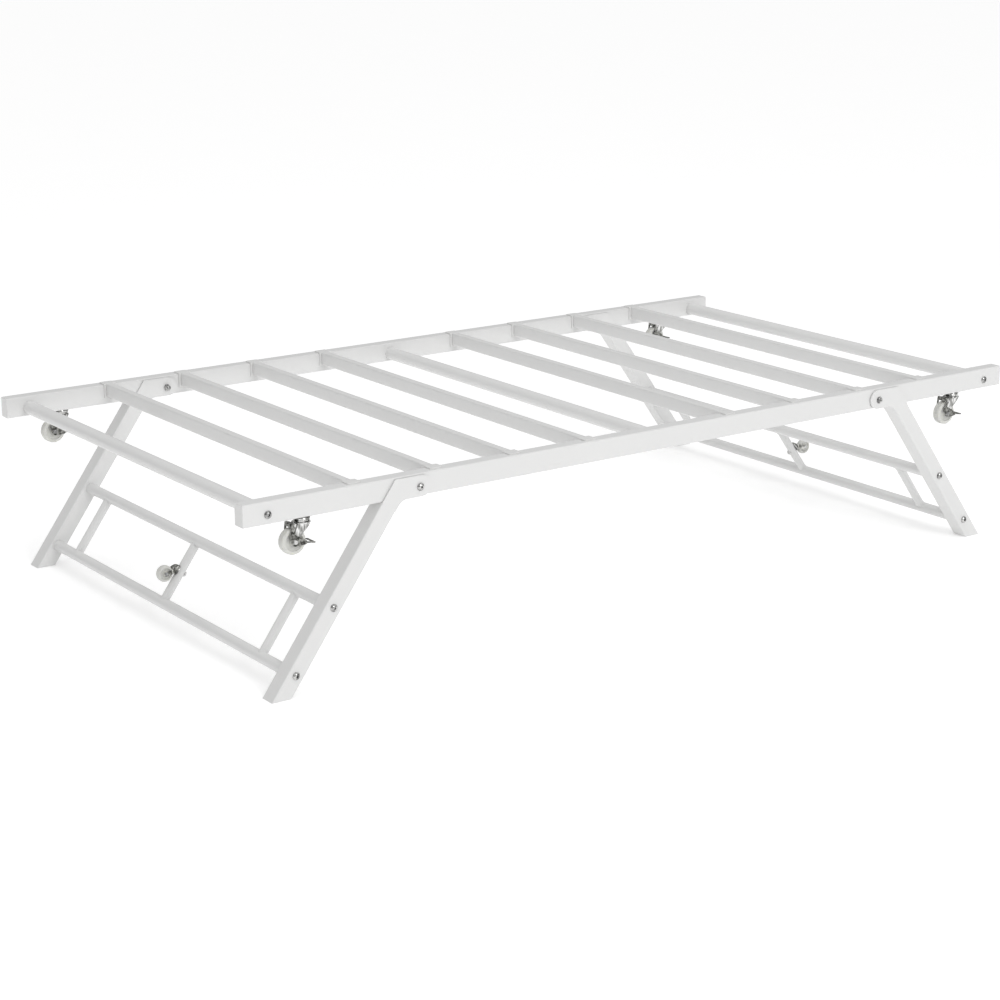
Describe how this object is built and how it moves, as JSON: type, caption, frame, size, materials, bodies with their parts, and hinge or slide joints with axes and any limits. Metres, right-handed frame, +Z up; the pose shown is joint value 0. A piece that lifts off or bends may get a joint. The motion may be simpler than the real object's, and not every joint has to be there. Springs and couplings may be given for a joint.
{
  "type": "trundle bed frame",
  "caption": "Low pop-up trundle bed frame in white steel tube: slatted deck on casters, with leg frames that swing out and lift it to bed height.",
  "frame": {"origin": "on the floor, below the middle of the deck, with the legs out", "axes": "+X along the bed, +Y from the front rail to the back rail, +Z up"},
  "size_m": [1.855, 1.0212, 0.3706],
  "materials": {
    "frame_white": "white powder coat, satin",
    "hook_white": "white powder coat, satin",
    "caster_chrome": "bright nickel or chrome plate",
    "bolt_zinc": "bright zinc plate",
    "wheel_nylon": "milky translucent nylon",
    "brake_black": "dark zinc plate"
  },
  "bodies": {
    "bed_frame": {"back_rail": "frame_white", "back_slat_hooks": "hook_white", "end_tube_bolts": "bolt_zinc", "front_rail": "frame_white", "front_slat_hooks": "hook_white", "left_back_caster_mount": "caster_chrome", "left_end_tube": "frame_white", "left_front_caster_mount": "caster_chrome", "middle_tube": "frame_white", "pivot_bolts": "bolt_zinc", "pivot_nuts": "bolt_zinc", "right_back_caster_mount": "caster_chrome", "right_end_tube": "frame_white", "right_front_caster_mount": "caster_chrome", "slat_1": "frame_white", "slat_2": "frame_white", "slat_3": "frame_white", "slat_4": "frame_white", "slat_5": "frame_white", "slat_6": "frame_white", "slat_7": "frame_white", "slat_8": "frame_white"},
    "left_legs": {"left_front_leg": "frame_white", "left_back_leg": "frame_white", "left_lower_crossbar": "frame_white", "left_upper_crossbar": "frame_white", "left_struts": "frame_white", "left_leg_bolts": "bolt_zinc", "left_stem_nut": "frame_white", "left_leg_caster_mount": "caster_chrome"},
    "left_leg_caster": {"left_leg_caster_fork": "caster_chrome", "left_leg_caster_axle": "caster_chrome"},
    "left_leg_caster_roller": {"left_leg_caster_wheel": "wheel_nylon"},
    "left_front_caster": {"left_front_caster_fork": "caster_chrome", "left_front_caster_axle": "caster_chrome"},
    "left_front_caster_roller": {"left_front_caster_wheel": "wheel_nylon"},
    "left_front_caster_lever": {"left_front_caster_brake": "brake_black"},
    "left_back_caster": {"left_back_caster_fork": "caster_chrome", "left_back_caster_axle": "caster_chrome"},
    "left_back_caster_roller": {"left_back_caster_wheel": "wheel_nylon"},
    "left_back_caster_lever": {"left_back_caster_brake": "brake_black"},
    "right_legs": {"right_front_leg": "frame_white", "right_back_leg": "frame_white", "right_lower_crossbar": "frame_white", "right_upper_crossbar": "frame_white", "right_struts": "frame_white", "right_leg_bolts": "bolt_zinc", "right_stem_nut": "frame_white", "right_leg_caster_mount": "caster_chrome"},
    "right_leg_caster": {"right_leg_caster_fork": "caster_chrome", "right_leg_caster_axle": "caster_chrome"},
    "right_leg_caster_roller": {"right_leg_caster_wheel": "wheel_nylon"},
    "right_front_caster": {"right_front_caster_fork": "caster_chrome", "right_front_caster_axle": "caster_chrome"},
    "right_front_caster_roller": {"right_front_caster_wheel": "wheel_nylon"},
    "right_front_caster_lever": {"right_front_caster_brake": "brake_black"},
    "right_back_caster": {"right_back_caster_fork": "caster_chrome", "right_back_caster_axle": "caster_chrome"},
    "right_back_caster_roller": {"right_back_caster_wheel": "wheel_nylon"},
    "right_back_caster_lever": {"right_back_caster_brake": "brake_black"}
  },
  "joints": [
    {"name": "left_legs_fold", "type": "hinge", "parent": "bed_frame", "child": "left_legs", "pos_m": [-0.5665, 0, 0.344], "axis": [0, -1, 0], "range_deg": [0, 126]},
    {"name": "left_leg_caster_swivel", "type": "hinge", "parent": "left_legs", "child": "left_leg_caster", "pos_m": [-0.80061, 0, 0.10182], "axis": [0.809, 0, -0.5878], "continuous": true},
    {"name": "left_leg_caster_roll", "type": "hinge", "parent": "left_leg_caster", "child": "left_leg_caster_roller", "pos_m": [-0.82764, 0, 0.09983], "axis": [0, 1, 0], "continuous": true},
    {"name": "left_front_caster_swivel", "type": "hinge", "parent": "bed_frame", "child": "left_front_caster", "pos_m": [-0.804, -0.488, 0.327], "axis": [0, 0, 1], "continuous": true},
    {"name": "left_front_caster_roll", "type": "hinge", "parent": "left_front_caster", "child": "left_front_caster_roller", "pos_m": [-0.824, -0.488, 0.28425], "axis": [0, 1, 0], "continuous": true},
    {"name": "left_front_caster_lock", "type": "hinge", "parent": "left_front_caster", "child": "left_front_caster_lever", "pos_m": [-0.824, -0.488, 0.28425], "axis": [0, -1, 0], "range_deg": [0, 15]},
    {"name": "left_back_caster_swivel", "type": "hinge", "parent": "bed_frame", "child": "left_back_caster", "pos_m": [-0.804, 0.488, 0.327], "axis": [0, 0, 1], "continuous": true},
    {"name": "left_back_caster_roll", "type": "hinge", "parent": "left_back_caster", "child": "left_back_caster_roller", "pos_m": [-0.824, 0.488, 0.28425], "axis": [0, 1, 0], "continuous": true},
    {"name": "left_back_caster_lock", "type": "hinge", "parent": "left_back_caster", "child": "left_back_caster_lever", "pos_m": [-0.824, 0.488, 0.28425], "axis": [0, -1, 0], "range_deg": [0, 15]},
    {"name": "right_legs_fold", "type": "hinge", "parent": "bed_frame", "child": "right_legs", "pos_m": [0.5665, 0, 0.344], "axis": [0, 1, 0], "range_deg": [0, 126]},
    {"name": "right_leg_caster_swivel", "type": "hinge", "parent": "right_legs", "child": "right_leg_caster", "pos_m": [0.80061, 0, 0.10182], "axis": [-0.809, 0, -0.5878], "continuous": true},
    {"name": "right_leg_caster_roll", "type": "hinge", "parent": "right_leg_caster", "child": "right_leg_caster_roller", "pos_m": [0.82764, 0, 0.09983], "axis": [0, 1, 0], "continuous": true},
    {"name": "right_front_caster_swivel", "type": "hinge", "parent": "bed_frame", "child": "right_front_caster", "pos_m": [0.795, -0.488, 0.327], "axis": [0, 0, 1], "continuous": true},
    {"name": "right_front_caster_roll", "type": "hinge", "parent": "right_front_caster", "child": "right_front_caster_roller", "pos_m": [0.775, -0.488, 0.28425], "axis": [0, 1, 0], "continuous": true},
    {"name": "right_front_caster_lock", "type": "hinge", "parent": "right_front_caster", "child": "right_front_caster_lever", "pos_m": [0.775, -0.488, 0.28425], "axis": [0, -1, 0], "range_deg": [0, 15]},
    {"name": "right_back_caster_swivel", "type": "hinge", "parent": "bed_frame", "child": "right_back_caster", "pos_m": [0.795, 0.488, 0.327], "axis": [0, 0, 1], "continuous": true},
    {"name": "right_back_caster_roll", "type": "hinge", "parent": "right_back_caster", "child": "right_back_caster_roller", "pos_m": [0.775, 0.488, 0.28425], "axis": [0, 1, 0], "continuous": true},
    {"name": "right_back_caster_lock", "type": "hinge", "parent": "right_back_caster", "child": "right_back_caster_lever", "pos_m": [0.775, 0.488, 0.28425], "axis": [0, -1, 0], "range_deg": [0, 15]}
  ]
}
